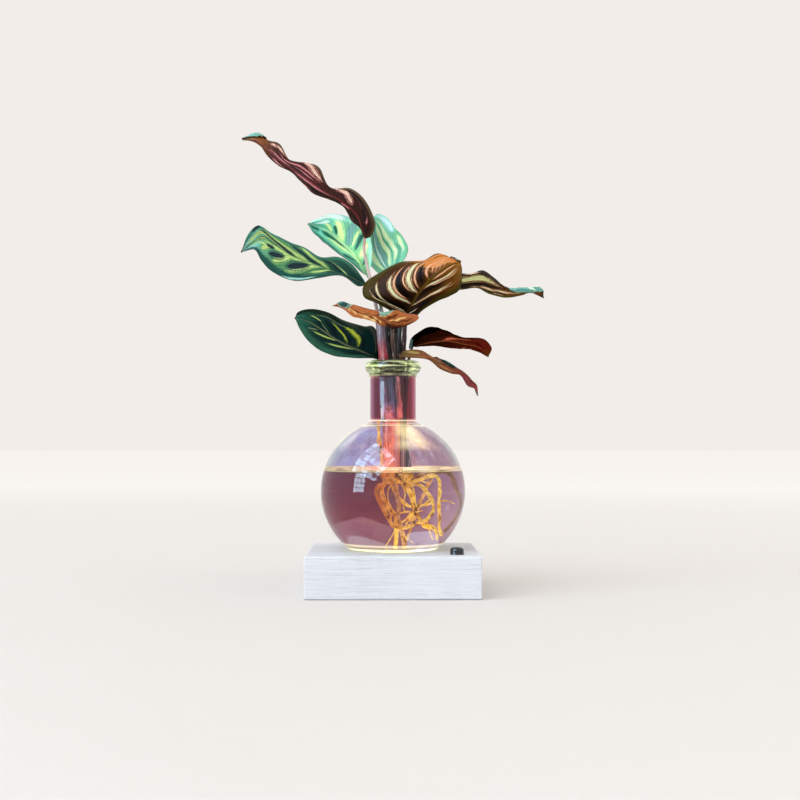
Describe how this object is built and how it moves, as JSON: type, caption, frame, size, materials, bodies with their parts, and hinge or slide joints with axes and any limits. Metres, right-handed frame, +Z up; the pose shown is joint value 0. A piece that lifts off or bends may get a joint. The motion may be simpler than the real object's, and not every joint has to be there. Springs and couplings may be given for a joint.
{
  "type": "potted calathea",
  "caption": "Calathea grown in water: patterned leaves on slim stalks, amber roots in a round clear flask, on a white-washed wooden stand with a light and a push button.",
  "frame": {"origin": "centre of the stand's underside, on the surface it stands on", "axes": "+Z up, +X to the right seen from the front, the front faces -Y"},
  "size_m": [0.1807, 0.1046, 0.2743],
  "materials": {
    "wood": "white-washed, fine straight grain",
    "grey_plastic": "moulded",
    "black_plastic": "satin",
    "board": "lacquered board",
    "lens": "frosted, lit from below",
    "led": "lit",
    "cell": "plain sleeve",
    "steel": "plain",
    "lead": "matte",
    "glass": "clear, polished",
    "water": "clear water",
    "crown": "fibrous",
    "root": "smooth, waxy",
    "stalk_pink": "smooth",
    "stalk_dark": "smooth",
    "leaf_green": "satin, feather pattern",
    "leaf_mint": "satin, feather pattern",
    "leaf_maroon": "satin underside",
    "leaf_copper_tone": "satin underside"
  },
  "bodies": {
    "root": {"battery_cell_1": "cell", "battery_cell_2": "cell", "battery_cell_3": "cell", "battery_tray": "grey_plastic", "bottom_cover": "grey_plastic", "cover_screw_1": "steel", "cover_screw_2": "steel", "cover_screw_3": "steel", "cover_screw_4": "steel", "crown": "crown", "glass_globe": "glass", "glass_neck": "glass", "lead_board": "lead", "lead_cells": "lead", "leaf_centre": "leaf_maroon", "leaf_copper": "leaf_copper_tone", "leaf_crest": "leaf_maroon", "leaf_east": "leaf_maroon", "leaf_low_left": "leaf_green", "leaf_low_right": "leaf_maroon", "leaf_mint_left": "leaf_mint", "leaf_mint_right": "leaf_mint", "leaf_strap": "leaf_copper_tone", "leaf_west": "leaf_green", "led_1": "led", "led_2": "led", "led_3": "led", "led_4": "led", "led_board": "board", "light_lens": "lens", "old_sheath": "stalk_dark", "root_arc": "root", "root_back": "root", "root_centre": "root", "root_far_right": "root", "root_front": "root", "root_left_loop": "root", "root_left_thick": "root", "root_middle": "root", "root_pale": "root", "root_right_drop": "root", "shoot_main": "stalk_pink", "stalk_centre": "stalk_dark", "stalk_copper": "stalk_pink", "stalk_crest": "stalk_pink", "stalk_east": "stalk_dark", "stalk_low_left": "stalk_dark", "stalk_low_right": "stalk_dark", "stalk_mint_left": "stalk_dark", "stalk_mint_right": "stalk_dark", "stalk_strap": "stalk_dark", "stalk_west": "stalk_dark", "switch_body": "grey_plastic", "water": "water", "wood_base": "wood"},
    "button": {"button_cap": "black_plastic"}
  },
  "joints": [
    {"name": "button_press", "type": "slide", "parent": "root", "child": "button", "axis": [0, 0, 1], "range_m": [-0.0015, 0], "stiffness_N_per_m": 600, "springref_m": 0.0005}
  ]
}
